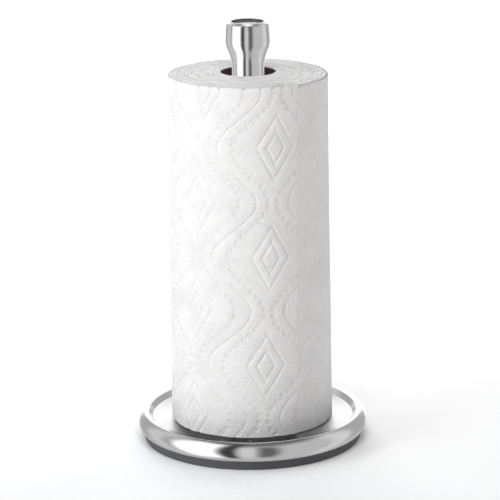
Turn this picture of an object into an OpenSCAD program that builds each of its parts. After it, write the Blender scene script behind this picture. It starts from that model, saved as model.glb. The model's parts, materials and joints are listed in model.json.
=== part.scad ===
// Counter-standing paper towel holder: a weighted, rubber-footed steel base, a post that turns in it
// against a friction brake, four spring arms that grip the roll's core, and a standard towel roll.
// Millimetres, +Z up. The post's axis is Z, and the underside of the rubber foot is z = 0.

/* [Base] */
// Widest diameter of the steel cover
base_d = 184.2; // [182:0.1:190]
// Height of the cover's widest line
belly_z = 14.5; // [14:0.1:15]
// Diameter of the cover's lower edge
foot_d = 176; // [174:0.1:178]
// Height of the rubber foot ring
foot_h = 6.75; // [6.2:0.05:7.2]
// Height of the dish floor
floor_z = 17.5; // [17.2:0.1:17.8]
// Thickness of the cover's sheet
cover_t = 0.8; // [0.6:0.1:0.8]
// Angle round the belly at which the rim's outer shoulder begins
shoulder_a = 58; // [54:1:60]
// Outer radius of the rim's shoulder
shoulder_r = 1.6; // [1.4:0.1:2]

/* [Turntable and bearing] */
// Diameter of the turntable under the roll
turntable_d = 92; // [80:1:94]
// Height of the turntable's top, on which the roll stands
turntable_z = 18.3; // [18.2:0.1:19]
// Diameter of the spindle's journal
journal_d = 20; // [18:0.5:21]
// Radial clearance between running surfaces
run_fit = 0.05; // [0.02:0.01:0.1]
// Diameter of the brake's friction pad
brake_d = 51; // [40:1:52]

/* [Post] */
// Outer diameter of the post tube
post_d = 25; // [24:0.5:26]
// Wall of the post tube
post_wall = 1.2; // [1:0.1:1.4]
// Height at which the tube ends, inside the handle
post_top = 306; // [305:0.5:312]
// Diameter of the tie rod through the post
rod_d = 5; // [4:0.5:5]

/* [Spring arms] */
// Number of spring arms
arms = 4; // [4]
// Width of one arm's strip
arm_w = 6; // [5:0.5:6]
// Thickness of one arm's strip
arm_t = 1.4; // [1:0.1:1.6]
// Height of the arms' pivots
arm_pivot_z = 92; // [88:1:96]
// Height at which the arms bear on the core
arm_apex_z = 150; // [148:1:152]
// Gap between an arm at rest and the core
arm_gap = 0.3; // [0.3:0.05:0.5]

/* [Handle] */
// Widest diameter of the handle
handle_d = 35.2; // [34:0.2:36]
// Height of the whole holder
total_h = 338; // [336:0.5:342]
// Diameter of the dished top
dish_d = 25; // [22:0.5:26]
// Depth of the dished top
dish_deep = 3; // [2.5:0.1:3.4]

/* [Towel roll] */
// Length of the roll
roll_h = 279.2; // [276:0.1:280]
// Diameter of the roll at its top
roll_top_d = 126; // [110:0.5:140]
// Diameter of the roll at its foot, where the loose turns spread
roll_foot_d = 129.6; // [112:0.1:142]
// Inner diameter of the cardboard core
core_d = 41.4; // [40.6:0.1:44]
// Wall of the core
core_wall = 0.8; // [0.6:0.1:1.5]
// Thickness of the outermost loose turn
sheet_t = 0.5; // [0.4:0.1:0.8]
// Direction of the loose turn's free edge
sheet_edge_a = -55.5; // [-90:0.5:0]

/* [Hidden] */
$fn = 96;
eps = 0.01; // overshoot of a cutting tool

// Points of an arc about [x, y], from angle a0 to a1
function arc(c, r, a0, a1, n = 12) =
    [for (i = [0:n]) let (a = a0 + (a1 - a0) * i / n) c + r * [cos(a), sin(a)]];
function dir(a) = [cos(a), sin(a)];

// Cover section: belly, shoulder, crown, lip, wall and fillet meet tangent to tangent
foot_r = foot_d / 2;
base_r = base_d / 2;
belly_drop = belly_z - foot_h;
belly_r = (pow(base_r - foot_r, 2) + pow(belly_drop, 2)) / (2 * (base_r - foot_r));
belly_c = [base_r - belly_r, belly_z];
crown_a = 103;
crown_r = 18;
lip_a = 112;
lip_r = 0.9;
wall_a = 142;
fillet_r = 1.6;
shoulder_c = belly_c + (belly_r - shoulder_r) * dir(shoulder_a);
crown_c = shoulder_c + (shoulder_r - crown_r) * dir(crown_a);
lip_c = crown_c + (crown_r - lip_r) * dir(lip_a);
wall_top = lip_c + lip_r * dir(wall_a);
fillet_z = floor_z + fillet_r;
wall_foot_z = fillet_z + fillet_r * sin(wall_a - 180);
wall_foot = wall_top + (wall_foot_z - wall_top[1]) / cos(wall_a) * [-sin(wall_a), cos(wall_a)];
fillet_c = wall_foot - fillet_r * dir(wall_a - 180);
lip_in_r = foot_r - 3.5; // inner edge of the cover's turned-in lower lip

// Well in the dish floor, in which the turntable turns
well_r = turntable_d / 2 + 2;
well_z = floor_z - 1.2;
well_slope = 0.8;
cover_hole_r = 27;

// The cover's section at depth t under its outer surface, from the lower lip to the centre hole
function cover_side(t) = concat(
    [[lip_in_r, foot_h + t]],
    arc(belly_c, belly_r - t, -asin((belly_drop - t) / (belly_r - t)), shoulder_a, 24),
    arc(shoulder_c, shoulder_r - t, shoulder_a, crown_a),
    arc(crown_c, crown_r - t, crown_a, lip_a, 4),
    arc(lip_c, lip_r - t, lip_a, wall_a, 6),
    arc(fillet_c, fillet_r + t, wall_a - 180, -90, 6),
    [[well_r + t * 0.6, floor_z - t], [well_r - well_slope + t * 0.6, well_z - t]],
    [[cover_hole_r, well_z - t]]
);

// Levels inside the base, from the bottom plate up to the turntable
plate_z = 1.6;
plate_t = 1.6;
plate_r = 84;
inside_z = plate_z + plate_t;
flange_z = 6;
housing_z = inside_z + 0.2;
pad_z = 8;
pad_t = 1;
cavity_z = pad_z + pad_t;
bearing_z = well_z - cover_t - 0.4;
washer_t = 1;
turntable_foot_z = bearing_z + washer_t + 0.02;
turntable_under_z = well_z + 0.3;
ballast_r = 83.5;
ballast_top_z = well_z - cover_t - 0.3;
ballast_chamfer = 3;
housing_r = 33;
housing_flange_r = 39.5;
housing_gap = 0.5;
cavity_r = 27;
journal_r = journal_d / 2;
bushing_r = journal_r + 2.5;
brake_r = brake_d / 2;
drag_t = 1.38;
drag_z = pad_z - 0.02 - drag_t;
drive_w = journal_d * 0.65; // square drive that turns the drag plate
thread_r = 4;
spindle_foot_z = 3.7;
nut_h = 1.6;
spring_t = 0.6;
spring_r = 13;

hub_r = 25; // the turntable's foot, which runs on the washer
bead_in_r = plate_r - 7; // inner edge of the rubber ring's foot

// Fasteners in the base: [pitch radius, number, first angle]
stud_ring = [60, 4, 45];
plate_screw_ring = [72, 4, 0];
housing_screw_ring = [36.5, 3, 30];
stud_r = 2.5;
stud_foot_z = inside_z + 1;
stud_nut_z = [inside_z + 1.8, inside_z + 4.3];
stud_nut_across = 8;
stud_pocket_r = 6;
plate_screw_r = 1.5;
plate_screw_top_z = 9.5;
plate_head_r = 3;
plate_head_t = 0.9;
housing_screw_r = 1.1;
housing_screw_top_z = 11.5;
housing_head_r = 2;
housing_head_t = 1.2;
screw_fit = 0.1; // radial clearance of a fastener in its hole

// Post
post_r = post_d / 2;
bore_r = post_r - post_wall;
seat_z = 22; // the tube's foot, on the turntable's inner step
socket_z = 34;
socket_r = post_r + 4;
spindle_top_z = 40;
rod_r = rod_d / 2;
rod_foot_z = 26;
rivet_r = 1.2;
rivet_in_r = 6;
rivet_head_r = 2.1;
rivet_head_t = 0.8;
plug_fit = 0.05;
slot_w = arm_w + 1;
core_r = core_d / 2;

// Arms: each strip is an arc through its pivot and its apex, with a straight tab at its top
pivot_r = 8;
eye_r = 2.4;
pin_r = 1.2;
pin_l = 12;
apex_r = core_r - arm_gap - arm_t / 2;
arm_rise = arm_apex_z - arm_pivot_z;
bow_r = (pow(arm_rise, 2) + pow(apex_r - pivot_r, 2)) / (2 * (apex_r - pivot_r));
bow_c = [apex_r - bow_r, arm_apex_z];
tab_r = bore_r - 0.4 - arm_t / 2;
tab_a = acos(1 - (apex_r - tab_r) / bow_r);
tab_foot_z = arm_apex_z + bow_r * sin(tab_a);
tab_top_z = tab_foot_z + 10.3;
carrier_z = [arm_pivot_z - 10, arm_pivot_z - 4, arm_pivot_z + 12];
guide_z = [tab_foot_z + 1.3, tab_top_z + 1.5, tab_top_z + 9];
slot_z = [arm_pivot_z + 4, tab_foot_z + 1.3];
rivet_z = [carrier_z[0] + 3, guide_z[2] - 4];

// Handle section: flare, bulb, side, shoulder and rim meet tangent to tangent
handle_r = handle_d / 2;
neck_z = 300;
flare_a = 21.7;
flare_r = 34;
flare_c = [post_r + flare_r, neck_z];
flare_foot_a = asin((post_top - neck_z) / flare_r);
flare_end = flare_c + flare_r * dir(180 - flare_a);
bulb_r = 15.5;
bulb_gain = handle_r - bulb_r * (1 - cos(flare_a)) - flare_end[0];
bulb_c = [handle_r - bulb_r, flare_end[1] + bulb_gain / tan(flare_a) + bulb_r * sin(flare_a)];
side_r = 100;
side_c = [handle_r - side_r, bulb_c[1]];
top_a = 59;
edge_r = 1.2;
rim_r = 0.9;
rim_c = [dish_d / 2 + rim_r, total_h - rim_r];
edge_a = top_a - acos(((rim_c - side_c) * dir(top_a) - edge_r + rim_r) / (side_r - edge_r));
edge_c = side_c + (side_r - edge_r) * dir(edge_a);
shell_t = 0.7;
dish_z = total_h - dish_deep;
cap_t = 1;
core_top_z = dish_z - cap_t;
plug_foot_z = post_top - 18;
nut_pocket_z = core_top_z - 10;
nut_pocket_r = 7.2;
rod_washer_r = 6;
rod_nut_z = [nut_pocket_z + 1, nut_pocket_z + 5];
rod_nut_across = 8;
cap_sag = 0.4;
cap_r = dish_d / 2 - 0.05;
cap_bowl_r = (pow(cap_r, 2) + pow(cap_sag, 2)) / (2 * cap_sag);

// The handle's section at depth t under its outer surface, from the neck up to the rim
function handle_side(t) = concat(
    arc(flare_c, flare_r + t, 180 - flare_foot_a, 180 - flare_a),
    arc(bulb_c, bulb_r - t, -flare_a, 0),
    arc(side_c, side_r - t, 0, edge_a, 6),
    arc(edge_c, edge_r - t, edge_a, top_a, 8)
);

// Roll
roll_z = turntable_z + 0.02;
roll_top_z = roll_z + roll_h;
roll_edge_r = 1.3;
winding_r = core_r + core_wall + 0.02;
sheet_span = 358;

// Shared shapes

module tube(r_out, r_in, z0, z1) {
    translate([0, 0, z0]) difference() {
        cylinder(r = r_out, h = z1 - z0);
        translate([0, 0, -eps]) cylinder(r = r_in, h = z1 - z0 + 2 * eps);
    }
}

module rod(r, z0, z1) {
    translate([0, 0, z0]) cylinder(r = r, h = z1 - z0);
}

module hex(across, z0, z1) {
    translate([0, 0, z0]) cylinder(d = across / cos(30), h = z1 - z0, $fn = 6);
}

// Repeats its children round the axis
module ring_of(ring) {
    for (i = [0:ring[1] - 1]) rotate(ring[2] + 360 * i / ring[1]) translate([ring[0], 0, 0]) children();
}

module round_arms() {
    for (i = [0:arms - 1]) rotate(360 * i / arms) children();
}

module arm_slots(z0, z1) {
    round_arms() translate([0, -slot_w / 2, z0]) cube([post_r + 1, slot_w, z1 - z0]);
}

// Base

module base_cover() {
    color("silver") rotate_extrude()
        polygon(concat(cover_side(0), [for (i = [len(cover_side(0)) - 1:-1:0]) cover_side(cover_t)[i]]));
}

module cover_studs() {
    color("silver") ring_of(stud_ring) rod(stud_r, stud_foot_z, floor_z - cover_t);
}

module ballast_weight() {
    color("dimgray") difference() {
        rotate_extrude() polygon([
            [housing_flange_r + housing_gap, inside_z], [ballast_r, inside_z],
            [ballast_r, ballast_top_z - ballast_chamfer],
            [ballast_r - ballast_chamfer, ballast_top_z], [housing_r + housing_gap, ballast_top_z],
            [housing_r + housing_gap, flange_z], [housing_flange_r + housing_gap, flange_z]
        ]);
        ring_of(stud_ring) rod(stud_r + screw_fit, 0, floor_z);
        ring_of(stud_ring) rod(stud_pocket_r, 0, stud_nut_z[1]);
        ring_of(plate_screw_ring) rod(plate_screw_r, 0, plate_screw_top_z + 0.5);
        ring_of(housing_screw_ring) rod(housing_screw_r, 0, housing_screw_top_z + 0.5);
    }
}

module ballast_nuts() {
    color("gainsboro") ring_of(stud_ring) difference() {
        hex(stud_nut_across, stud_nut_z[0], stud_nut_z[1]);
        rod(stud_r, 0, floor_z);
    }
}

module nonslip_ring() {
    color("dimgray") rotate_extrude() polygon([
        [bead_in_r, 0], [foot_r - 1.6, 0], [foot_r - 1, 0.5], [foot_r - 0.2, foot_h],
        [lip_in_r, foot_h], [plate_r + 0.1, foot_h - 1], [plate_r + 0.1, plate_z], [bead_in_r, plate_z]
    ]);
}

module bottom_plate() {
    color("#2b2b2d") difference() {
        rod(plate_r, plate_z, inside_z);
        ring_of(plate_screw_ring) rod(plate_screw_r + screw_fit, 0, inside_z + 1);
        ring_of(plate_screw_ring) rod(plate_head_r + screw_fit, 0, plate_z + plate_head_t);
    }
}

module bottom_plate_screws() {
    color("gainsboro") ring_of(plate_screw_ring) {
        rod(plate_head_r, plate_z, plate_z + plate_head_t);
        rod(plate_screw_r, plate_z + plate_head_t / 2, plate_screw_top_z);
    }
}

module bearing_housing() {
    color("#e8e4d8") difference() {
        union() {
            rod(housing_r, housing_z, bearing_z);
            rod(housing_flange_r, housing_z, flange_z);
        }
        rod(cavity_r, 0, cavity_z);
        rod(bushing_r, 0, floor_z);
        ring_of(housing_screw_ring) rod(housing_screw_r + screw_fit, 0, floor_z);
        ring_of(housing_screw_ring) rod(housing_head_r + screw_fit, 0, housing_z + housing_head_t);
    }
}

module housing_screws() {
    color("gainsboro") ring_of(housing_screw_ring) {
        rod(housing_head_r, housing_z, housing_z + housing_head_t);
        rod(housing_screw_r, housing_z + housing_head_t / 2, housing_screw_top_z);
    }
}

module spindle_bushing() {
    color("goldenrod") tube(bushing_r, journal_r + run_fit, cavity_z, bearing_z);
}

module thrust_washer() {
    color("ivory") tube(hub_r - 1, journal_r + 1, bearing_z, bearing_z + washer_t);
}

module brake_pad() {
    color("#6b4a33") tube(brake_r, bushing_r + 0.1, pad_z, cavity_z);
}

// Post

module turntable() {
    color("#3a3b3d") difference() {
        rotate_extrude() polygon(concat(
            [[journal_r, turntable_foot_z], [hub_r, turntable_foot_z], [hub_r, turntable_under_z]],
            [[turntable_d / 2, turntable_under_z], [turntable_d / 2, turntable_z - 0.4]],
            [[turntable_d / 2 - 0.4, turntable_z], [socket_r + 2, turntable_z]],
            arc([socket_r + 2, turntable_z + 2], 2, -90, -180, 6),
            [[socket_r - 0.5, socket_z - 1], [socket_r - 1.5, socket_z]],
            [[journal_r, socket_z]]
        ));
        rod(post_r, seat_z, socket_z + 1);
    }
}

module spindle() {
    color("silver") difference() {
        union() {
            rod(thread_r, spindle_foot_z, drag_z + 1);
            translate([-drive_w / 2, -drive_w / 2, drag_z]) cube([drive_w, drive_w, pad_z + 0.5 - drag_z]);
            rod(journal_r, pad_z, seat_z);
            rod(bore_r - plug_fit, seat_z, spindle_top_z);
        }
        rod(rod_r + plug_fit, rod_foot_z, spindle_top_z + 1);
    }
}

module drag_plate() {
    color("gainsboro") difference() {
        rod(brake_r, drag_z, drag_z + drag_t);
        cube([drive_w + 0.1, drive_w + 0.1, 3 * pad_z], center = true);
    }
}

module disc_spring() {
    color("slategray") rotate_extrude() polygon([
        [thread_r + 0.3, spindle_foot_z + nut_h + 0.1], [spring_r, drag_z - spring_t],
        [spring_r, drag_z], [thread_r + 0.3, spindle_foot_z + nut_h + 0.1 + spring_t]
    ]);
}

module spindle_nut() {
    color("gainsboro") difference() {
        hex(13, spindle_foot_z + 0.1, spindle_foot_z + 0.1 + nut_h);
        rod(thread_r, 0, floor_z);
    }
}

module post_tube() {
    color("silver") difference() {
        tube(post_r, bore_r, seat_z, post_top);
        arm_slots(slot_z[0], slot_z[1]);
        rivet_holes(rivet_r + plug_fit);
    }
}

// Rivets stand at half the angle between two arms, one on each side of the post
module rivet_holes(r) {
    for (z = rivet_z, side = [0, 1])
        rotate(180 / arms + 180 * side) translate([rivet_in_r, 0, z]) rotate([0, 90, 0])
            cylinder(r = r, h = post_r);
}

module arm_carrier() {
    color("#2b2b2d") difference() {
        rod(bore_r - plug_fit, carrier_z[0], carrier_z[2]);
        round_arms() translate([pivot_r - eye_r - 0.6, -slot_w / 2, carrier_z[1]])
            cube([post_r, slot_w, arm_pivot_z]);
        round_arms() translate([pivot_r, 0, arm_pivot_z]) rotate([90, 0, 0])
            cylinder(r = pin_r, h = pin_l, center = true);
        rod(rod_r + plug_fit, 0, total_h);
        rivet_holes(rivet_r);
    }
}

module arm_pins() {
    color("gainsboro") round_arms() translate([pivot_r, 0, arm_pivot_z]) rotate([90, 0, 0])
        cylinder(r = pin_r, h = pin_l, center = true);
}

module arm_guide() {
    color("#2b2b2d") difference() {
        rod(bore_r - plug_fit, guide_z[0], guide_z[2]);
        arm_slots(guide_z[0] - 1, guide_z[1]);
        rod(rod_r + plug_fit, 0, total_h);
        rivet_holes(rivet_r);
    }
}

module post_rivets() {
    color("silver") for (z = rivet_z, side = [0, 1])
        rotate(180 / arms + 180 * side) translate([rivet_in_r, 0, z]) rotate([0, 90, 0]) {
            cylinder(r = rivet_r, h = post_r - rivet_in_r + rivet_head_t / 2);
            translate([0, 0, post_r - rivet_in_r]) cylinder(r = rivet_head_r, h = rivet_head_t);
        }
}

module tie_rod() {
    color("gainsboro") rod(rod_r, rod_foot_z, rod_nut_z[1] + 1);
}

module tie_rod_washer() {
    color("gainsboro") tube(rod_washer_r, rod_r + plug_fit, nut_pocket_z, rod_nut_z[0]);
}

module tie_rod_nut() {
    color("gainsboro") difference() {
        hex(rod_nut_across, rod_nut_z[0], rod_nut_z[1]);
        rod(rod_r, 0, total_h);
    }
}

module handle_core() {
    color("#2b2b2d") difference() {
        union() {
            intersection() {
                rotate_extrude()
                    polygon(concat([[0, post_top]], handle_side(shell_t + plug_fit), [[0, total_h]]));
                rod(handle_r, post_top, core_top_z);
            }
            rod(bore_r - plug_fit, plug_foot_z, post_top + 1);
        }
        rod(rod_r + plug_fit, 0, total_h);
        rod(nut_pocket_r, nut_pocket_z, total_h);
        tube(handle_r, dish_d / 2 - 0.1, core_top_z - 4, total_h);
    }
}

module handle_shell() {
    rim = arc(rim_c, rim_r, top_a, 180, 8);
    rim_in = arc(rim_c, rim_r - shell_t, top_a, 180, 8);
    inner = concat(handle_side(shell_t), rim_in, [[dish_d / 2 + shell_t, core_top_z]]);
    color("silver") rotate_extrude() polygon(concat(
        handle_side(0), rim, [[dish_d / 2, core_top_z]], [for (i = [len(inner) - 1:-1:0]) inner[i]]
    ));
}

module handle_cap() {
    color("silver") rotate_extrude() polygon(concat(
        [[0, core_top_z], [cap_r, core_top_z]],
        arc([0, dish_z + cap_bowl_r - cap_sag], cap_bowl_r, asin(cap_r / cap_bowl_r) - 90, -90, 8)
    ));
}

// Spring arms

module spring_arm(i) {
    start_a = -asin(arm_rise / bow_r);
    strip = concat(
        arc(bow_c, bow_r + arm_t / 2, start_a, tab_a, 32),
        [[tab_r + arm_t / 2, tab_top_z], [tab_r - arm_t / 2, tab_top_z]],
        arc(bow_c, bow_r - arm_t / 2, tab_a, start_a, 32)
    );
    color("lightsteelblue") rotate(360 * (i - 1) / arms) difference() {
        rotate([90, 0, 0]) linear_extrude(arm_w, center = true) union() {
            polygon(strip);
            translate([pivot_r, arm_pivot_z]) circle(r = eye_r);
        }
        translate([pivot_r, 0, arm_pivot_z]) rotate([90, 0, 0])
            cylinder(r = pin_r + run_fit, h = arm_w + 1, center = true);
    }
}

// Roll

// The winding's side at distance d outside it: straight, from the wide foot to the narrower top
function roll_side(d) = [
    [roll_foot_d / 2 - sheet_t + d, roll_z], [roll_top_d / 2 - sheet_t + d, roll_top_z - roll_edge_r]
];

module core_tube() {
    color("#a9855c") tube(core_r + core_wall, core_r, roll_z, roll_top_z);
}

module towel_roll() {
    color("white") rotate_extrude() polygon(concat(
        [[winding_r, roll_z]], roll_side(0),
        arc(roll_side(0)[1] - [roll_edge_r, 0], roll_edge_r, 10, 90, 8), [[winding_r, roll_top_z]]
    ));
}

module outer_sheet() {
    color("whitesmoke") rotate(sheet_edge_a - sheet_span) rotate_extrude(angle = sheet_span)
        polygon(concat(roll_side(0.02), [roll_side(sheet_t)[1], roll_side(sheet_t)[0]]));
}

base_cover();
cover_studs();
ballast_weight();
ballast_nuts();
nonslip_ring();
bottom_plate();
bottom_plate_screws();
bearing_housing();
housing_screws();
spindle_bushing();
thrust_washer();
brake_pad();
turntable();
spindle();
drag_plate();
disc_spring();
spindle_nut();
post_tube();
arm_carrier();
arm_pins();
arm_guide();
post_rivets();
tie_rod();
tie_rod_washer();
tie_rod_nut();
handle_core();
handle_shell();
handle_cap();
spring_arm(1);  // spring_arm_1
spring_arm(2);  // spring_arm_2
spring_arm(3);  // spring_arm_3
spring_arm(4);  // spring_arm_4
core_tube();
towel_roll();
outer_sheet();
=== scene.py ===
"""The looks of a standing paper towel holder: brushed steel, rubber foot, embossed towel roll and
studio."""

import json
import math

import bpy
import numpy as np
from mathutils import Matrix, Vector


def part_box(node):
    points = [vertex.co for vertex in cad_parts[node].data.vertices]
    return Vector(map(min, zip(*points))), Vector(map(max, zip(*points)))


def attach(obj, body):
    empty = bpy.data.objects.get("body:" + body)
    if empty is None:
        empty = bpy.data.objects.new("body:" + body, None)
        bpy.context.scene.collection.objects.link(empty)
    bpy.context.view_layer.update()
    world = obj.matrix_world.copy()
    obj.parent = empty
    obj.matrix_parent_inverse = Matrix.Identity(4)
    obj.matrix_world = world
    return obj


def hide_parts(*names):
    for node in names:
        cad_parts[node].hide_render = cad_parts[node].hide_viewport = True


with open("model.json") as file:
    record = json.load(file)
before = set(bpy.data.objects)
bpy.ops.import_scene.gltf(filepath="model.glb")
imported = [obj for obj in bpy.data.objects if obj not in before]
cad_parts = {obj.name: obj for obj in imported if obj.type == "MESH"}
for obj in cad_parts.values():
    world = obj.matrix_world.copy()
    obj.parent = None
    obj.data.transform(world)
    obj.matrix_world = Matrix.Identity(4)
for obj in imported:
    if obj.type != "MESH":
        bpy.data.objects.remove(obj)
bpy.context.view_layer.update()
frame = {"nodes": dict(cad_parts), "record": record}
NODES = frame["nodes"]
MM = 0.001
SEED = 7
KNOTS = 4096  # knots in a smooth noise before it repeats

# Camera, at the height and distance that give the picture's perspective
CAMERA_DISTANCE = 1.911
CAMERA_HEIGHT = 0.66
CAMERA_PITCH = math.radians(14.83)
CAMERA_ROLL = math.radians(-0.75)
CAMERA_LENS = 179.0
SENSOR_WIDTH = 36.0
CAMERA_SHIFT = -0.0008

# Places taken from the frame
ROLL_LOW, ROLL_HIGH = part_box("towel_roll")
SHEET_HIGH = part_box("outer_sheet")[1]
CORE_LOW, CORE_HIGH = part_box("core_tube")
CORE_OUTER = CORE_HIGH.x
CAP_LOW, CAP_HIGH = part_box("handle_cap")
DISH_RADIUS = 79 * MM  # where the dish floor meets the rim's inner wall
CORE_WALL = 0.8 * MM
CORE_SEAM = 0.16 * MM  # how far the seam of the core's strip stands out
CORE_LEAD = 95 * MM
WINDING_SPLIT = 30 * MM  # the steel shows the winding up to this height above the roll's foot
WINDING_GAP = 0.25 * MM  # from the winding to the outermost turn
SHADE = 0.22  # share of the light left in the narrow recess round the cap
SHADE_EDGE = 0.1 * MM
ROLL_FOOT_R = SHEET_HIGH.x
ROLL_FOOT_Z = ROLL_LOW.z
ROLL_TOP_Z = ROLL_HIGH.z
ROLL_HEIGHT = ROLL_TOP_Z - ROLL_FOOT_Z

# The roll's outermost turn
ROLL_TAPER = 1.8 * MM  # the foot's radius less the top's
TURN_STEP = 0.5 * MM  # how far the free edge stands off the turn below it
FREE_EDGE = math.radians(-54.8)
EDGE_LEAN = 0.0136  # the free edge leans a little to the right going up
EDGE_FADE = 14 * MM  # how far round the turn the free edge's lean and waves reach
SHEET_LENGTH = 150 * MM  # from one tear line to the next
UNDERLAP = 9 * MM  # how far the turn runs on under its own free edge
HEM = 1.6 * MM  # how far the sheet's top and foot turn in
HEM_RISE = 0.1 * MM
HEM_DROP = 0.15 * MM
FREE_HEM = 0.55 * MM
GRID = 0.75 * MM
# Unevenness of the sheet, as pairs of a size and a period in mm
FOOT_WAVES = ((0.16, 17), (0.1, 5))
TOP_WAVES = ((0.2, 23),)
EDGE_WAVES = ((0.35, 21), (0.15, 6))
SLACK_ROUND = ((0.25, 34),)
SLACK_UP = ((0.12, 40),)
LIFT_WAVES = ((0.3, 38),)
# The weave and the faces of the ends
WEAVE_PITCH = 2.2  # mm
WEAVE_DEPTH = 0.33 * MM
FACE_RISE = 1.3  # mm by which the turns next to the core stand above the outer ones

# Embossing, in mm along the turn from its free edge and up the roll: columns of diamonds in ogee
# frames, with every other column dropped by half a diamond's pitch
COLUMN_PITCH = 60.0
DIAMOND_PITCH = 86.5
FIRST_DIAMOND = (23.2, 145.2)
SLANT = 0.0567
OUTER_DIAMOND = (14.9, 25.0)  # half width and half height
INNER_DIAMOND = (7.0, 12.3)
LINE_WAVE = (29.9, 16.6)  # mean offset from the column, and swing
DOT_WAVE = (18.5, 15.1)
DOT_SPACING = 5.9
LINE_WIDTH = 1.0
LINE_DEPTH = 0.8
DOT_WIDTH = 1.8
DOT_DEPTH = 0.95
DOT_COLUMNS = range(-2, 10)  # enough columns and pitches to cover the whole turn
DOT_PITCHES = range(-3, 4)
PIT_SHADE_TONE = 0.88  # share of the white left in a dot's pit: partly the paper pressed thin, partly painted shade in the pit
BETWEEN_OUTLINES = 0.16  # how far the paper inside a diamond stands proud

# Softboxes: name, azimuth from the camera (positive to its right), elevation, size, power and tint
LIGHT_DISTANCE = 1.8
LIGHT_AIM = Vector((0, 0, 0.16))
WORLD_STRENGTH = 0.02
WHITE = (1.0, 1.0, 1.0)
COOL = (0.965, 0.995, 1.01)
LIGHTS = (
    ("front_light", 0, 50, (1.0, 1.0), 14, WHITE),
    ("overhead_light", 0, 88, (1.2, 1.2), 8, WHITE),
    ("key_light", -60, 20, (0.9, 0.9), 14, COOL),
    ("side_light", -100, 30, (0.9, 0.9), 5, COOL),
    ("back_light", -170, 30, (1.2, 0.9), 14, WHITE),
    ("back_light_right", 130, 25, (1.2, 0.9), 10, WHITE),
)

# The floor has a painted glow, with no lamp under it: the glow grows between two distances, behind the
# holder and all round it, and also lifts the floor's shade beside the holder a little
BEHIND_GLOW = (-0.15, 1.9)
BEHIND_STRENGTH = 0.85
FAR_GLOW = (1.3, 3.0)
FAR_STRENGTH = 0.6

# What the steel shows: grey walls, and cloths hung in front of them. Each has a name, the azimuths
# and the elevations that it spans, in degrees, and a tone; a later cloth hangs in front of an
# earlier one
DOME_RADIUS = 4.0
DOME_HEIGHT = 0.2
WALL_TONE = 0.5
CLOTH_EDGE = 10  # degrees over which a cloth's edge fades
CLOTHS = (
    ("floor", -200, 200, -100, -25, 0.6),
    ("ceiling", -200, 200, 55, 100, 0.15),
    ("backdrop_left", -200, -155, -20, 100, 1.4),
    ("backdrop_right", 155, 200, -20, 100, 1.4),
    ("wall_right", 30, 115, -60, 45, 0.65),
    ("panel_left", -125, -100, -60, 45, 0.75),
    ("panel_right", 85, 110, -60, 45, 0.85),
    ("window", -85, -35, -60, 60, 1.5),
    ("flag_left", -35, -15, -60, 75, 0.05),
    ("camera_card", -15, 5, -60, 45, 0.8),
    ("flag_right", 5, 25, -50, 40, 0.15),
)


# ---------------------------------------------------------------- materials

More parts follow.
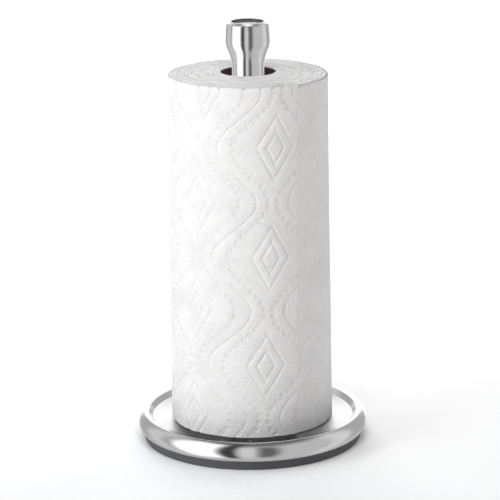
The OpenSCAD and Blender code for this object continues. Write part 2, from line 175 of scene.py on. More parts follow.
class Nodes:
    """A short way to write a material's node tree."""

    def __init__(self, name):
        self.material = bpy.data.materials.new(name)
        self.material.use_nodes = True
        self.tree = self.material.node_tree
        self.shader = self.tree.nodes["Principled BSDF"]

    def add(self, kind, **settings):
        node = self.tree.nodes.new("ShaderNode" + kind)
        for key, value in settings.items():
            setattr(node, key, value)
        return node

    def link(self, out, into):
        self.tree.links.new(out, into)

    def set(self, **values):
        for key, value in values.items():
            self.shader.inputs[key.replace("_", " ")].default_value = value

    def feed(self, socket, value):
        """Gives an input a number, a vector or another node's output."""
        if isinstance(value, bpy.types.NodeSocket):
            self.link(value, socket)
        else:
            socket.default_value = value

    def math(self, operation, a, b=0.0, c=0.0):
        node = self.add("Math", operation=operation)
        for socket, value in zip(node.inputs, (a, b, c)):
            self.feed(socket, value)
        return node.outputs[0]

    def noise(self, vector, scale, detail=3.0, roughness=0.5):
        node = self.add("TexNoise")
        self.link(vector, node.inputs["Vector"])
        node.inputs["Scale"].default_value = scale
        node.inputs["Detail"].default_value = detail
        node.inputs["Roughness"].default_value = roughness
        return node.outputs["Fac"]

    def remap(self, value, low, high, to_low, to_high):
        node = self.add("MapRange")
        self.link(value, node.inputs["Value"])
        keys = ("From Min", "From Max", "To Min", "To Max")
        for key, number in zip(keys, (low, high, to_low, to_high)):
            node.inputs[key].default_value = number
        return node.outputs[0]

    def ramp(self, value, *stops):
        """A colour ramp through (place, colour) stops."""
        node = self.add("ValToRGB")
        self.link(value, node.inputs["Fac"])
        band = node.color_ramp
        while len(band.elements) < len(stops):
            band.elements.new(0.5)
        for element, (place, colour) in zip(band.elements, stops):
            element.position = place
            element.color = (*colour, 1.0)
        return node.outputs["Color"]

    def bump(self, height, distance, strength=1.0):
        node = self.add("Bump")
        node.inputs["Strength"].default_value = strength
        node.inputs["Distance"].default_value = distance
        self.link(height, node.inputs["Height"])
        return node.outputs["Normal"]

    def place(self):
        """The place on the object, in metres."""
        return self.add("TexCoord").outputs["Object"]

    def place_split(self):
        """The place as x, y and z."""
        split = self.add("SeparateXYZ")
        self.link(self.place(), split.inputs[0])
        return split.outputs

    def paper_place(self):
        """The place on the paper in mm, whole and as its two parts."""
        uv = self.add("UVMap", uv_map="paper").outputs[0]
        split = self.add("SeparateXYZ")
        self.link(uv, split.inputs[0])
        return uv, split.outputs[0], split.outputs[1]

    def scaled(self, colour, share):
        """A colour times a share."""
        out = self.add("VectorMath", operation="SCALE")
        self.link(colour, out.inputs[0])
        self.link(share, out.inputs["Scale"])
        return out.outputs[0]

    def from_axis(self):
        """Distance from the Z axis."""
        x, y, _ = self.place_split()
        squares = self.math("ADD", self.math("MULTIPLY", x, x), self.math("MULTIPLY", y, y))
        return self.math("SQRT", squares)

    def around(self, along, across):
        """Coordinates round the Z axis: turn scaled by along, radius and height scaled by
        across."""
        x, y, z = self.place_split()
        turn = self.math("ARCTAN2", y, x)
        join = self.add("CombineXYZ")
        self.link(self.math("MULTIPLY", turn, along), join.inputs[0])
        self.link(self.math("MULTIPLY", self.from_axis(), across), join.inputs[1])
        self.link(self.math("MULTIPLY", z, across), join.inputs[2])
        return join.outputs[0]


def turned_steel(name, colour, roughness, grain_depth, anisotropy=0.75, metallic=1.0,
                 satin=None, shade=None):
    """Steel turned round the Z axis: fine lines, a stretched gloss and faint smudges. Less
    metallic, it is milky like a blasted face. Satin is a radius and the roughness inside it; shade
    is a radius and a level, inside and above which the steel is darkened."""
    n = Nodes(name)
    n.set(Metallic=metallic, Anisotropic=anisotropy)
    tangent = n.add("Tangent", direction_type="RADIAL", axis="Z")
    n.link(tangent.outputs[0], n.shader.inputs["Tangent"])
    n.set(Anisotropic_Rotation=0.25)
    grain = n.noise(n.around(1.6, 2600.0), 1.0, 2.0, 0.6)
    band = n.noise(n.around(0.5, 420.0), 1.0, 3.0, 0.6)
    smudge = n.noise(n.place(), 26.0, 3.0, 0.55)
    both = n.math("ADD", n.math("MULTIPLY", grain, 0.65), n.math("MULTIPLY", band, 0.35))
    dark = tuple(0.88 * c for c in colour)
    tone = n.ramp(both, (0.32, dark), (0.68, colour))
    if shade:
        radius, level = shade
        outside = n.remap(n.from_axis(), radius - SHADE_EDGE, radius + SHADE_EDGE, SHADE, 1.0)
        under = n.remap(n.place_split()[2], level - SHADE_EDGE, level + SHADE_EDGE, 1.0, SHADE)
        tone = n.scaled(tone, n.math("MAXIMUM", outside, under))
    n.link(tone, n.shader.inputs["Base Color"])
    worn = n.math("ADD", n.remap(both, 0.3, 0.7, roughness - 0.04, roughness + 0.04),
                  n.remap(smudge, 0.45, 0.75, 0.0, 0.03))
    if satin:
        extra = n.remap(n.from_axis(), satin[0] - MM, satin[0] + MM, satin[1] - roughness, 0.0)
        worn = n.math("ADD", worn, extra)
    n.link(worn, n.shader.inputs["Roughness"])
    n.link(n.bump(both, grain_depth, 0.5), n.shader.inputs["Normal"])
    return n.material


def plated_steel(name, colour, roughness):
    """Plain zinc-plated steel, slightly mottled, for fasteners and pressed parts."""
    n = Nodes(name)
    n.set(Metallic=1.0)
    mottle = n.noise(n.place(), 420.0, 4.0, 0.6)
    dark = tuple(0.8 * c for c in colour)
    n.link(n.ramp(mottle, (0.3, dark), (0.7, colour)), n.shader.inputs["Base Color"])
    n.link(n.remap(mottle, 0.3, 0.7, roughness - 0.07, roughness + 0.08), n.shader.inputs["Roughness"])
    n.link(n.bump(mottle, 0.02 * MM), n.shader.inputs["Normal"])
    return n.material


def spring_steel():
    """Blued spring steel with rolling lines along the strip."""
    n = Nodes("spring_steel")
    n.set(Metallic=1.0, Anisotropic=0.4)
    stretch = n.add("Mapping")
    n.link(n.place(), stretch.inputs["Vector"])
    stretch.inputs["Scale"].default_value = (2200.0, 2200.0, 25.0)
    rolled = n.noise(stretch.outputs[0], 1.0, 3.0, 0.6)
    tone = n.ramp(rolled, (0.3, (0.3, 0.32, 0.36)), (0.7, (0.5, 0.52, 0.56)))
    n.link(tone, n.shader.inputs["Base Color"])
    n.link(n.remap(rolled, 0.3, 0.7, 0.24, 0.38), n.shader.inputs["Roughness"])
    n.link(n.bump(rolled, 0.02 * MM), n.shader.inputs["Normal"])
    return n.material


def cast_iron():
    """Pitted, painted casting with a little rust."""
    n = Nodes("cast_iron")
    n.set(Metallic=0.6)
    pits = n.noise(n.place(), 700.0, 6.0, 0.7)
    rust = n.noise(n.place(), 40.0, 4.0, 0.6)
    colour = n.ramp(rust, (0.45, (0.07, 0.07, 0.075)), (0.75, (0.13, 0.09, 0.07)))
    n.link(colour, n.shader.inputs["Base Color"])
    n.link(n.remap(pits, 0.3, 0.7, 0.55, 0.85), n.shader.inputs["Roughness"])
    n.link(n.bump(pits, 0.25 * MM), n.shader.inputs["Normal"])
    return n.material


def grained_plastic(name, colour, roughness, grain_scale=1500.0, depth=0.03):
    """Moulded plastic or rubber with a fine spark-eroded grain and slight cloudiness."""
    n = Nodes(name)
    cells = n.add("TexVoronoi", feature="SMOOTH_F1")
    n.link(n.place(), cells.inputs["Vector"])
    cells.inputs["Scale"].default_value = grain_scale
    cloud = n.noise(n.place(), 60.0, 4.0, 0.6)
    dark = tuple(0.85 * c for c in colour)
    light = tuple(min(1, 1.12 * c) for c in colour)
    n.link(n.ramp(cloud, (0.3, dark), (0.7, light)), n.shader.inputs["Base Color"])
    n.link(n.remap(cloud, 0.3, 0.7, roughness - 0.06, roughness + 0.06), n.shader.inputs["Roughness"])
    n.link(n.bump(cells.outputs["Distance"], depth * MM), n.shader.inputs["Normal"])
    return n.material


def bronze():
    """Sintered bearing bronze with open pores."""
    n = Nodes("bronze")
    n.set(Metallic=1.0)
    pores = n.noise(n.place(), 1800.0, 4.0, 0.6)
    tone = n.ramp(pores, (0.3, (0.45, 0.27, 0.1)), (0.7, (0.68, 0.45, 0.2)))
    n.link(tone, n.shader.inputs["Base Color"])
    n.link(n.remap(pores, 0.3, 0.7, 0.28, 0.5), n.shader.inputs["Roughness"])
    n.link(n.bump(pores, 0.04 * MM), n.shader.inputs["Normal"])
    return n.material


def felt():
    """Brown pressed felt."""
    n = Nodes("brake_felt")
    n.set(Sheen_Weight=0.5)
    fibres = n.noise(n.place(), 900.0, 6.0, 0.75)
    tone = n.ramp(fibres, (0.3, (0.14, 0.09, 0.06)), (0.7, (0.3, 0.2, 0.13)))
    n.link(tone, n.shader.inputs["Base Color"])
    n.set(Roughness=0.95)
    n.link(n.bump(fibres, 0.3 * MM), n.shader.inputs["Normal"])
    return n.material


def core_board():
    """Dark brown spiral-wound board with short fibres."""
    n = Nodes("core_board")
    fibres = n.noise(n.place(), 1300.0, 5.0, 0.7)
    blotch = n.noise(n.place(), 90.0, 4.0, 0.6)
    mixed = n.math("ADD", n.math("MULTIPLY", fibres, 0.6), n.math("MULTIPLY", blotch, 0.4))
    colour = n.ramp(mixed, (0.35, (0.022, 0.008, 0.004)), (0.65, (0.06, 0.026, 0.014)))
    n.link(colour, n.shader.inputs["Base Color"])
    n.set(Roughness=0.9)
    n.link(n.bump(fibres, 0.12 * MM), n.shader.inputs["Normal"])
    return n.material


def soft_tissue(name):
    """The shading that every face of the towel shares."""
    n = Nodes(name)
    n.set(Roughness=0.95, Sheen_Weight=0.1, Sheen_Roughness=0.6)
    n.set(Subsurface_Weight=0.15, Subsurface_Scale=0.4 * MM)
    n.shader.inputs["Subsurface Radius"].default_value = (1.0, 0.95, 0.9)
    n.shader.inputs["Specular IOR Level"].default_value = 0.1
    return n


def towel_paper(name):
    """Soft white tissue with a fine weave and loose fibres, a little greyer in the dots' pits, partly
    for the paper pressed thin there and partly as painted shade in the pits. UV holds millimetres
    round and up the roll."""
    n = soft_tissue(name)
    uv, u, v = n.paper_place()
    weave = []
    for lean, pitch in ((0.62, WEAVE_PITCH), (-0.62, 1.25 * WEAVE_PITCH)):
        slanted = n.math("ADD", u, n.math("MULTIPLY", v, lean))
        weave.append(n.math("SINE", n.math("MULTIPLY", slanted, 2 * math.pi / pitch)))
    pockets = n.math("MULTIPLY", weave[0], weave[1])
    fibre = n.noise(uv, 1.6, 5.0, 0.7)
    cloud = n.noise(uv, 0.12, 3.0, 0.5)
    patches = n.remap(n.noise(uv, 0.045, 2.0, 0.5), 0.4, 0.62, 0.35, 1.0)
    woven = n.math("MULTIPLY", n.math("ADD", pockets, n.math("MULTIPLY", weave[0], 0.7)), patches)
    height = n.math("ADD", n.math("MULTIPLY", woven, 0.5), n.math("MULTIPLY", fibre, 0.35))
    white = n.ramp(cloud, (0.3, (0.888, 0.868, 0.86)), (0.7, (0.93, 0.912, 0.904)))
    pressed = n.add("Attribute", attribute_name="pressed").outputs["Fac"]
    # Painted shade: the dots' pits are greyed, partly for the paper pressed thin there
    tone = n.remap(pressed, 0.1, 0.9, 1.0, PIT_SHADE_TONE)
    n.link(n.scaled(white, tone), n.shader.inputs["Base Color"])
    n.link(n.bump(height, WEAVE_DEPTH), n.shader.inputs["Normal"])
    return n.material


def towel_layers(name):
    """The cut ends of the turns, with painted shade: dark in the gaps between the turns and greyer
    than the paper over the whole face. UV holds millimetres round the roll and out from its axis.
    """
    n = soft_tissue(name)
    uv, along, out = n.paper_place()
    stretched = n.add("CombineXYZ")
    n.link(n.math("MULTIPLY", along, 0.05), stretched.inputs[0])
    n.link(out, stretched.inputs[1])
    turns = n.noise(stretched.outputs[0], 0.6, 4.0, 0.7)
    crumbs = n.noise(uv, 0.5, 4.0, 0.7)
    mixed = n.math("ADD", n.math("MULTIPLY", turns, 0.6), n.math("MULTIPLY", crumbs, 0.4))
    # Painted shade: the gaps between the turns are dark grey, and the whole end face is greyer than
    # the paper
    gap, edge, face = (0.36, 0.35, 0.348), (0.64, 0.63, 0.627), (0.84, 0.833, 0.83)
    n.link(n.ramp(mixed, (0.36, gap), (0.46, edge), (0.6, face)), n.shader.inputs["Base Color"])
    n.link(n.bump(mixed, 1.1 * MM), n.shader.inputs["Normal"])
    return n.material


# ---------------------------------------------------------------- mesh helpers

def smooth_noise(x, seed, period):
    """One-dimensional smooth noise in -1..1 with one knot every period."""
    knots = np.random.default_rng(seed).uniform(-1, 1, KNOTS)
    at = np.asarray(x, float) / period + 500.0
    low = np.floor(at).astype(int)
    part = at - low
    ease = part * part * (3 - 2 * part)
    return knots[low % KNOTS] * (1 - ease) + knots[(low + 1) % KNOTS] * ease


def waviness(x, seed, waves):
    """Smooth noises added up, one for each size and period."""
    return sum(size * smooth_noise(x, seed + number, period)
               for number, (size, period) in enumerate(waves))


def grid_mesh(name, points, closed=False, uv=None):
    """A smooth mesh over a grid of points [column, row]; closed joins the last column to the first.
    UV holds the paper's two coordinates and, where it has a third layer, how hard the paper is
    pressed."""
    columns, rows = points.shape[:2]
    index = np.arange(columns * rows).reshape(columns, rows)
    if closed:
        index = np.vstack([index, index[:1]])
    corners = [index[:-1, :-1], index[1:, :-1], index[1:, 1:], index[:-1, 1:]]
    faces = np.stack(corners, -1).reshape(-1, 4)
    mesh = bpy.data.meshes.new(name)
    mesh.vertices.add(columns * rows)
    mesh.vertices.foreach_set("co", points.reshape(-1).astype(np.float32))
    mesh.loops.add(faces.size)
    mesh.loops.foreach_set("vertex_index", faces.reshape(-1).astype(np.int32))
    mesh.polygons.add(len(faces))
    mesh.polygons.foreach_set("loop_start", np.arange(0, faces.size, 4, dtype=np.int32))
    mesh.update(calc_edges=True)
    mesh.validate()
    if uv is not None:
        layer = mesh.uv_layers.new(name="paper")
        flat = uv[..., :2].reshape(-1, 2)
        layer.data.foreach_set("uv", flat[faces.reshape(-1)].reshape(-1).astype(np.float32))
        if uv.shape[-1] == 3:
            pressed = mesh.attributes.new("pressed", "FLOAT", "POINT")
            pressed.data.foreach_set("value", uv[..., 2].reshape(-1).astype(np.float32))
    mesh.shade_smooth()
    piece = bpy.data.objects.new(name, mesh)
    bpy.context.scene.collection.objects.link(piece)
    return piece


def polar(radius, turn, height):
    """Grid points from radius, angle and height arrays."""
    return np.stack(np.broadcast_arrays(radius * np.cos(turn), radius * np.sin(turn), height), -1)


def paint(piece, material):
    """Gives a piece one material."""
    piece.data.materials.clear()
    piece.data.materials.append(material)
    return piece


# ---------------------------------------------------------------- towel roll

def groove(distance, width, depth):
    """Height, below zero, of a soft-edged groove at a distance from its middle."""
    return -depth * np.exp(-(distance / width) ** 2)


def ogee(wave, v):
    """Offset of a wave from its column of diamonds, at a height in mm from a diamond's middle."""
    return wave[0] + wave[1] * np.cos(2 * math.pi * v / DIAMOND_PITCH)


def wrap(value, pitch):
    """A value brought within half a pitch of zero."""
    return value - pitch * np.round(value / pitch)


def diamond_distance(du, dv, half):
    """Distance in mm from a diamond's outline, negative inside it."""
    wide, tall = half
    return (np.abs(du) / wide + np.abs(dv) / tall - 1) * wide * tall / math.hypot(wide, tall)


def dots_in_a_pitch():
    """Heights of the dots of one dotted wave over one pitch, evenly spaced along it."""
    v = np.linspace(0, DIAMOND_PITCH, 400)
    run = np.concatenate([[0], np.cumsum(np.hypot(np.diff(v), np.diff(ogee(DOT_WAVE, v))))])
    count = round(run[-1] / DOT_SPACING)
    return np.interp((np.arange(count) + 0.5) * run[-1] / count, run, v)


def press_dots(height, s, v):
    """Presses the dotted waves into height, a grid over s and v in mm."""
    reach = 3 * DOT_WIDTH
    dots = dots_in_a_pitch()
    rows, levels = s[:, s.shape[1] // 2], v[v.shape[0] // 2, :]
    for column in DOT_COLUMNS:
        drop = (column % 2) * DIAMOND_PITCH / 2
        for pitch in DOT_PITCHES:
            for dot in dots:
                at_v = FIRST_DIAMOND[1] + drop + pitch * DIAMOND_PITCH + dot
                centre = FIRST_DIAMOND[0] + column * COLUMN_PITCH - SLANT * (at_v - FIRST_DIAMOND[1])
                for side in (-1, 1):
                    at_s = centre + side * ogee(DOT_WAVE, dot)
                    a0, a1 = np.searchsorted(rows, (at_s - reach, at_s + reach))
                    b0, b1 = np.searchsorted(levels, (at_v - reach, at_v + reach))
                    if a0 < a1 and b0 < b1:
                        near = (slice(a0, a1), slice(b0, b1))
                        gap = np.hypot(s[near] - at_s, v[near] - at_v)
                        height[near] += groove(gap, DOT_WIDTH, DOT_DEPTH)


def emboss(s, v):
    """Height in mm of the embossed sheet, and how hard its dots press it, over s (mm from the free
    edge) and v (mm up the roll)."""
    lean = s + SLANT * (v - FIRST_DIAMOND[1]) - FIRST_DIAMOND[0]
    column = np.round(lean / COLUMN_PITCH)
    du = lean - column * COLUMN_PITCH
    dv = wrap(v - FIRST_DIAMOND[1] - (column % 2) * DIAMOND_PITCH / 2, DIAMOND_PITCH)
    outer = diamond_distance(du, dv, OUTER_DIAMOND)
    inner = diamond_distance(du, dv, INNER_DIAMOND)
    height = groove(outer, LINE_WIDTH, LINE_DEPTH) + groove(inner, LINE_WIDTH, LINE_DEPTH)
    height += BETWEEN_OUTLINES / (1 + np.exp(outer / 1.2))
    even = wrap(lean, 2 * COLUMN_PITCH)
    rise = v - FIRST_DIAMOND[1]
    slope = LINE_WAVE[1] * 2 * math.pi / DIAMOND_PITCH * np.sin(2 * math.pi * rise / DIAMOND_PITCH)
    for side in (-1, 1):
        off = (even - side * ogee(LINE_WAVE, rise)) / np.sqrt(1 + slope ** 2)
        height += groove(off, LINE_WIDTH, 0.75 * LINE_DEPTH)
    dots = 0 * height
    press_dots(dots, s, v)
    return height + dots, np.clip(-dots / DOT_DEPTH, 0, 1)


def roll_radius(level):
    """The roll's outer radius at a height in metres: the foot's turns are slacker than the
    top's."""
    return ROLL_FOOT_R - ROLL_TAPER * (level - ROLL_FOOT_Z) / ROLL_HEIGHT


def outer_turn():
    """The outermost turn as two arrays [along the turn, up the roll]: its points, and the paper's
    coordinates in mm with how hard it is pressed there."""
    turn = 2 * math.pi * (ROLL_FOOT_R - ROLL_TAPER / 2)
    length = turn + UNDERLAP
    s = np.linspace(0, length, round(length / GRID) + 1)[:, None]
    share = np.linspace(0, 1, round(ROLL_HEIGHT / GRID) + 1)[None, :]
    # Grows from 0 to 1 over the last part of the turn, which lies right of the free edge
    behind = np.clip((s - 0.78 * turn) / (0.22 * turn), 0, 1)
    s_mm = s / MM
    foot = ROLL_FOOT_Z + MM * (waviness(s_mm, SEED, FOOT_WAVES) + 0.2 + 2.3 * behind ** 1.5)
    top = ROLL_TOP_Z - MM * (0.35 + waviness(s_mm, SEED + 2, TOP_WAVES) + 2.6 * behind)
    level = foot + share * (top - foot)
    edge = MM * waviness(level / MM, SEED + 3, EDGE_WAVES)
    lean = EDGE_LEAN * (level - ROLL_FOOT_Z - ROLL_HEIGHT / 2)
    along = s + (edge - lean) * np.exp(-s / EDGE_FADE)
    radius = roll_radius(level) - TURN_STEP * s / turn
    pattern, pressed = emboss(along / MM, (level - ROLL_FOOT_Z) / MM + 0 * s_mm)
    radius = radius + MM * pattern
    slack = MM * (waviness(s_mm, SEED + 5, SLACK_ROUND) + waviness(level / MM, SEED + 6, SLACK_UP))
    lift = MM * (0.35 + waviness(level / MM, SEED + 7, LIFT_WAVES)) * np.exp(-s / (3.2 * MM))
    shut = np.clip((ROLL_TOP_Z - level) / (2.2 * MM), 0, 1)
    radius = radius + slack + lift - 1.0 * MM * (1 - shut) ** 2
    angle = FREE_EDGE - along / (ROLL_FOOT_R - ROLL_TAPER / 2)
    paper = np.stack(np.broadcast_arrays(along / MM, level / MM, pressed), -1)
    return polar(radius, angle, level), paper


def hemmed(points, uv, free):
    """Turns the sheet's edges inwards, so that its top, foot and, where free, its cut edge show a
    thickness."""
    def inward(edge, depth, drop):
        out = edge.copy()
        flat = np.hypot(edge[..., 0], edge[..., 1])
        out[..., :2] *= ((flat - depth) / flat)[..., None]
        out[..., 2] += drop
        return out
    low, high = points[:, :1], points[:, -1:]
    under, over = inward(low, HEM, HEM_RISE), inward(high, HEM, -HEM_DROP)
    points = np.concatenate([under, low, points, high, over], 1)
    uv = np.concatenate([uv[:, :1]] * 2 + [uv] + [uv[:, -1:]] * 2, 1)
    if free:
        first = points[:1]
        points = np.concatenate([inward(first, FREE_HEM, 0.0), first, points], 0)
        uv = np.concatenate([uv[:1]] * 2 + [uv], 0)
    return points, uv


def make_outer_sheets(material):
    """The outermost turn, as the sheets that its tear lines part it into."""
    points, uv = outer_turn()
    cuts = [0]
    while cuts[-1] < len(points) - 1:
        cuts.append(min(len(points) - 1, cuts[-1] + round(SHEET_LENGTH / GRID)))
    sheets = []
    for number, (start, end) in enumerate(zip(cuts, cuts[1:]), 1):
        part = slice(start, end + 1)
        hem_points, hem_uv = hemmed(points[part], uv[part], number == 1)
        sheets.append(paint(grid_mesh(f"towel_sheet_{number}", hem_points, uv=hem_uv), material))
    return sheets


def make_end_face(name, level, up, material):
    """One end of the winding: its turns stand at slightly different heights, in a spiral."""
    inner = CORE_OUTER + 0.05 * MM
    outer = roll_radius(level) - TURN_STEP - 0.1 * MM
    turn = np.linspace(0, 2 * math.pi, 300, endpoint=False)[:, None]
    share = np.linspace(0, 1, round((outer - inner) / (0.22 * MM)))[None, :]
    tight = 1.2 * MM * np.exp(-((wrap(turn, 2 * math.pi) - 0.1) / 0.55) ** 2)
    outer = outer - (tight if up else 0)
    radius = inner + share * (outer - inner)
    r_mm = radius / MM + 0.35 * turn / (2 * math.pi)
    wobble = 1 + 0.5 * smooth_noise(turn * 12 + 3 * smooth_noise(r_mm, SEED + 20, 9), SEED + 21, 9)
    step = 0.30 * smooth_noise(r_mm, SEED + 22, 2.1) + 0.16 * smooth_noise(r_mm, SEED + 23, 0.6)
    parted = np.exp(-((wrap(turn, 2 * math.pi) - 0.35) / 0.8) ** 2)  # where the turns stand apart
    gaps = np.clip(smooth_noise(r_mm + 0.8 * np.cos(turn), SEED + 25, 1.1) - 0.1, 0, 1)
    step = step - parted * 1.1 * gaps
    slack = 0.5 * smooth_noise(r_mm, SEED + 24, 9)
    relief = step * wobble + slack - 0.45 + (FACE_RISE if up else 0.4) * (1 - share) ** 1.2
    rounding = np.clip((radius - (outer - 1.6 * MM)) / (1.6 * MM), 0, 1)
    relief = relief - 0.5 * (1 - np.sqrt(np.clip(1 - rounding ** 2, 0, 1)))
    height = level + (MM if up else -MM) * relief * (1 if up else 0.4)
    points = polar(radius, turn if up else -turn, height)
    uv = np.stack(np.broadcast_arrays(turn * np.max(outer) / MM, r_mm), -1)
    return paint(grid_mesh(name, points, closed=True, uv=uv), material)


def make_winding(name, low, high, material):
    """A height of the winding's side, just under the outermost turn."""
    turn = np.linspace(0, 2 * math.pi, 256, endpoint=False)[:, None]
    level = np.linspace(low, high, 30)[None, :]
    ripple = 0.08 * MM * smooth_noise(turn * 40, SEED + 30, 9)
    radius = roll_radius(level) - TURN_STEP - WINDING_GAP + ripple
    uv = np.stack(np.broadcast_arrays(turn * radius / MM, level / MM), -1)
    return paint(grid_mesh(name, polar(radius, turn, level), closed=True, uv=uv), material)


def make_core(material):
    """The cardboard core: a tube wound from a strip, whose edge shows as a helical seam."""
    inner = CORE_OUTER - CORE_WALL
    turn = np.linspace(0, 2 * math.pi, 144, endpoint=False)[:, None]
    level = np.linspace(CORE_LOW.z, CORE_HIGH.z, 180)[None, :]
    phase = (level / CORE_LEAD + turn / (2 * math.pi)) % 1.0
    seam = -groove(np.minimum(phase, 1 - phase) * CORE_LEAD, 0.9 * MM, CORE_SEAM)
    inside = polar(inner + seam, turn, level)
    outside = polar(CORE_OUTER, turn, level[:, ::-1])
    first, last = inside[:, :1], inside[:, -1:]
    points = np.concatenate([first, inside, last, outside[:, :1], outside, first], 1)
    return paint(grid_mesh("cardboard_core", points[:, ::-1], closed=True), material)


# ---------------------------------------------------------------- studio

def aim(thing, at):
    """Turns a light so that its -Z axis points at a place."""
    thing.rotation_mode = "QUATERNION"
    thing.rotation_quaternion = (Vector(at) - thing.location).to_track_quat("-Z", "Y")


def softbox(name, place, at, size, power, tint):
    """A soft area light that the camera doesn't see."""
    data = bpy.data.lights.new(name, "AREA")
    data.shape = "RECTANGLE"
    data.size, data.size_y = size
    data.energy = power
    data.color = tint
    light = bpy.data.objects.new(name, data)
    light.location = place
    aim(light, at)
    light.visible_camera = False
    bpy.context.scene.collection.objects.link(light)
    return light


def make_camera():
    """The camera in front of the holder, looking slightly down."""
    data = bpy.data.cameras.new("camera")
    data.lens = CAMERA_LENS
    data.sensor_width = SENSOR_WIDTH
    data.shift_x = CAMERA_SHIFT
    data.clip_start, data.clip_end = 0.05, 60.0
    camera = bpy.data.objects.new("camera", data)
    camera.location = (0.0, -CAMERA_DISTANCE, CAMERA_HEIGHT)
    tilt = Matrix.Rotation(math.pi / 2 - CAMERA_PITCH, 4, "X")
    camera.rotation_euler = (tilt @ Matrix.Rotation(CAMERA_ROLL, 4, "Z")).to_euler()
    bpy.context.scene.collection.objects.link(camera)
    bpy.context.scene.camera = camera


def around_axis(azimuth, distance, height):
    """A place round the holder; azimuth 0 is towards the camera and grows to the camera's right."""
    turn = math.radians(azimuth)
    return Vector((distance * math.sin(turn), -distance * math.cos(turn), height))


def make_floor():
    """A wide, pale, matt studio floor with a faint tooth, and a painted glow, with no lamp under it,
    behind the holder and a long way off."""
    n = Nodes("studio_floor")
    tooth = n.noise(n.place(), 180.0, 4.0, 0.6)
    pale = n.ramp(tooth, (0.3, (0.9, 0.9, 0.905)), (0.7, (0.92, 0.92, 0.925)))
    n.link(pale, n.shader.inputs["Base Color"])
    n.set(Roughness=0.8)
    n.shader.inputs["Specular IOR Level"].default_value = 0.1
    n.link(n.bump(tooth, 0.05 * MM), n.shader.inputs["Normal"])
    # Painted glow, lit by no lamp: it lifts the floor's shade beside the holder a little and grows
    # into a bright backdrop
    behind = n.remap(n.place_split()[1], *BEHIND_GLOW, 0.0, BEHIND_STRENGTH)
    far = n.remap(n.from_axis(), *FAR_GLOW, 0.0, FAR_STRENGTH)
    n.link(n.math("MAXIMUM", behind, far), n.shader.inputs["Emission Strength"])
    n.link(n.ramp(tooth, (0.3, (0.98, 0.98, 0.98)), (0.7, WHITE)), n.shader.inputs["Emission Color"])
    turn = np.linspace(0, 2 * math.pi, 64, endpoint=False)[:, None]
    radius = np.array([0.001, 0.3, 1.0, 3.0, 12.0])[None, :]
    floor = paint(grid_mesh("studio_floor", polar(radius, turn, 0 * radius), closed=True), n.material)
    return floor


def hide_from_gloss(thing):
    """Keeps a thing out of the steel's reflections. They show the surround, and of the roll only its
    foot and the lowest part of its winding."""
    thing.visible_glossy = False


def between(n, angle, start, end):
    """1 where an angle lies between two others, with soft edges."""
    past_start = n.remap(angle, start - CLOTH_EDGE / 2, start + CLOTH_EDGE / 2, 0.0, 1.0)
    before_end = n.remap(angle, end - CLOTH_EDGE / 2, end + CLOTH_EDGE / 2, 1.0, 0.0)
    return n.math("MULTIPLY", past_start, before_end)


def make_dome():
    """A wide surround that shows only in reflections: grey walls with light and dark cloths."""
    n = Nodes("studio_dome")
    place = n.add("SeparateXYZ")
    n.link(n.add("NewGeometry").outputs["Position"], place.inputs[0])
    x, y, z = place.outputs
    degree = math.pi / 180
    azimuth = n.math("DIVIDE", n.math("ARCTAN2", x, n.math("MULTIPLY", y, -1.0)), degree)
    rise = n.math("DIVIDE", n.math("SUBTRACT", z, DOME_HEIGHT), DOME_RADIUS)
    elevation = n.math("DIVIDE", n.math("ARCSINE", rise), degree)
    n.set(Base_Color=(0, 0, 0, 1), Roughness=1.0, Emission_Strength=1.0)
    n.shader.inputs["Specular IOR Level"].default_value = 0.0
    shade = WALL_TONE
    for _, left, right, low, high, tone in CLOTHS:
        hung = n.math("MULTIPLY", between(n, azimuth, left, right), between(n, elevation, low, high))
        shade = n.math("ADD", shade, n.math("MULTIPLY", hung, n.math("SUBTRACT", tone, shade)))
    n.link(shade, n.shader.inputs["Emission Color"])
    turns = np.linspace(-math.pi, math.pi, 48, endpoint=False)[:, None]
    rises = np.linspace(-math.pi / 2 + 0.01, math.pi / 2 - 0.01, 25)[None, :]
    points = polar(DOME_RADIUS * np.cos(rises), turns, DOME_HEIGHT + DOME_RADIUS * np.sin(rises))
    dome = paint(grid_mesh("studio_dome", points, closed=True), n.material)
    for ray in ("camera", "diffuse", "transmission", "volume_scatter", "shadow"):
        setattr(dome, "visible_" + ray, False)


def make_studio():
    """The softboxes, a faint even light and the surround."""
    world = bpy.data.worlds.new("studio")
    world.use_nodes = True
    background = world.node_tree.nodes["Background"]
    background.inputs["Color"].default_value = (1.0, 1.0, 1.0, 1.0)
    background.inputs["Strength"].default_value = WORLD_STRENGTH
    bpy.context.scene.world = world
    bpy.context.scene.view_settings.view_transform = "Standard"
    for name, azimuth, elevation, size, power, tint in LIGHTS:
        rise = math.radians(elevation)
        height = LIGHT_AIM.z + LIGHT_DISTANCE * math.sin(rise)
        spot = around_axis(azimuth, LIGHT_DISTANCE * math.cos(rise), height)
        light = softbox(name, spot, LIGHT_AIM, size, power, tint)
        hide_from_gloss(light)
    make_dome()


# ---------------------------------------------------------------- build

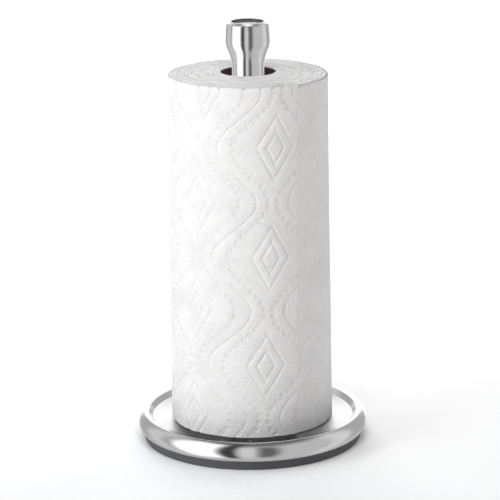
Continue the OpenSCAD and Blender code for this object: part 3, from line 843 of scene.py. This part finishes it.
def make_materials():
    """The material of each of the record's slots, and of the towels' cut ends."""
    return {
        "cover_steel": turned_steel("cover_steel", (0.76, 0.76, 0.77), 0.17, 0.012 * MM, 0.85,
                                    satin=(DISH_RADIUS, 0.32)),
        "post_steel": turned_steel("post_steel", (0.78, 0.78, 0.79), 0.19, 0.008 * MM,
                                   shade=(CAP_HIGH.x + 0.3 * MM, CAP_LOW.z)),
        "cap_steel": turned_steel("cap_steel", (0.95, 0.95, 0.955), 0.34, 0.01 * MM, 0.6,
                                  metallic=0.15),
        "zinc_steel": plated_steel("zinc_steel", (0.6, 0.6, 0.62), 0.33),
        "spring_steel": spring_steel(),
        "cast_iron": cast_iron(),
        "foot_rubber": grained_plastic("foot_rubber", (0.085, 0.085, 0.09), 0.62, 1200.0, 0.05),
        "black_plastic": grained_plastic("black_plastic", (0.025, 0.025, 0.027), 0.5),
        "turntable_plastic": grained_plastic("turntable_plastic", (0.07, 0.07, 0.075), 0.55, 1100.0,
                                             0.05),
        "acetal": grained_plastic("acetal", (0.72, 0.7, 0.63), 0.35, 900.0, 0.01),
        "bronze": bronze(),
        "brake_felt": felt(),
        "core_board": core_board(),
        "towel_paper": towel_paper("towel_paper"),
        "towel_layers": towel_layers("towel_layers"),
    }


def main():
    """Builds the holder, the roll and the studio."""
    make_camera()
    materials = make_materials()
    for part in frame["record"]["subparts"]:
        paint(NODES[part["node"]], materials[part["material_slot"]])
    paper = materials["towel_paper"]
    sheets = make_outer_sheets(paper)
    split = ROLL_FOOT_Z + WINDING_SPLIT
    wound = [
        make_winding("towel_winding", ROLL_FOOT_Z + 0.4 * MM, split, paper),
        make_winding("towel_winding_upper", split, ROLL_TOP_Z - 1.5 * MM, paper),
        make_end_face("towel_top", ROLL_TOP_Z, True, materials["towel_layers"]),
        make_end_face("towel_foot", ROLL_FOOT_Z, False, materials["towel_layers"]),
    ]
    core = make_core(materials["core_board"])
    for piece in sheets + wound:
        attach(piece, "roll")
    for piece in sheets + wound[1:3]:
        hide_from_gloss(piece)
    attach(core, "roll")
    hide_from_gloss(core)
    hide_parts("outer_sheet")
    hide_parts("towel_roll")
    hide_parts("core_tube")
    hide_from_gloss(make_floor())
    make_studio()


main()
